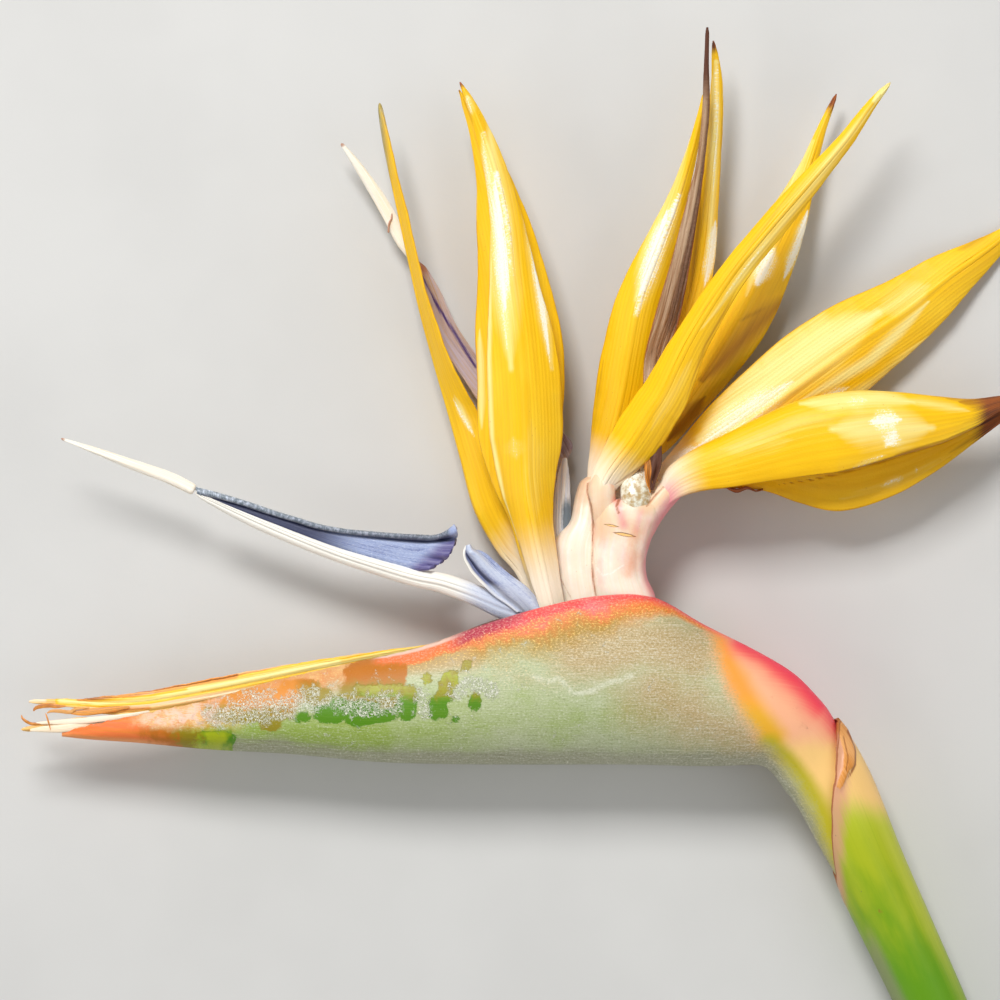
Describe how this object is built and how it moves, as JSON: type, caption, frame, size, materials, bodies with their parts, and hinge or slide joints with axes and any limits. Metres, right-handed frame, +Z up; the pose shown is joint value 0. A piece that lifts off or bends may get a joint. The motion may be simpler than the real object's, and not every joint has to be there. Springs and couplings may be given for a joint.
{
  "type": "bird of paradise flower",
  "caption": "Cut bird of paradise flower lying on its side: beak-shaped spathe, golden sepals, blue arrow petal and bent green stem.",
  "frame": {"origin": "middle of the small flat spot under the spathe, on the surface that the flower lies on", "axes": "+Z up from that surface, towards a viewer who sees the flower from its side; -X towards the tip of the beak; +Y from the keel of the spathe to the tips of the sepals"},
  "size_m": [0.2065, 0.2413, 0.0254],
  "materials": {
    "spathe_green": "waxy grey-green skin with fine lengthwise streaks",
    "sheath_green": "satin lime green skin with a grey bloom",
    "stem_green": "satin, moist cut end",
    "bract_gold": "thin dried strip, satin",
    "sepal_gold": "glossy, with fine lengthwise veins",
    "arrow_blue": "satin blue-violet, speckled",
    "dried_brown": "matte, dry and ridged",
    "petal_mauve": "satin, thin",
    "style_cream": "satin, rounded",
    "base_cream": "satin cream with pink stains",
    "bud_grey": "moist, partly clear"
  },
  "bodies": {
    "root": {"spathe": "spathe_green", "stem_sheath": "sheath_green", "peduncle": "stem_green", "inner_bract_a": "bract_gold", "inner_bract_b": "bract_gold", "floret_a_base": "base_cream", "floret_b_base": "base_cream", "floret_c_base": "base_cream", "sepal_a1": "sepal_gold", "sepal_a2": "sepal_gold", "sepal_a3": "sepal_gold", "sepal_b1": "sepal_gold", "sepal_b2": "sepal_gold", "sepal_b3": "sepal_gold", "sepal_c1": "sepal_gold", "sepal_c2": "sepal_gold", "sepal_c3": "sepal_gold", "arrow_petal_a": "arrow_blue", "arrow_petal_b": "petal_mauve", "arrow_petal_c": "dried_brown", "small_petal_a": "arrow_blue", "small_petal_b": "petal_mauve", "style_a": "style_cream", "style_b": "style_cream", "spent_bud": "bud_grey"}
  },
  "joints": []
}
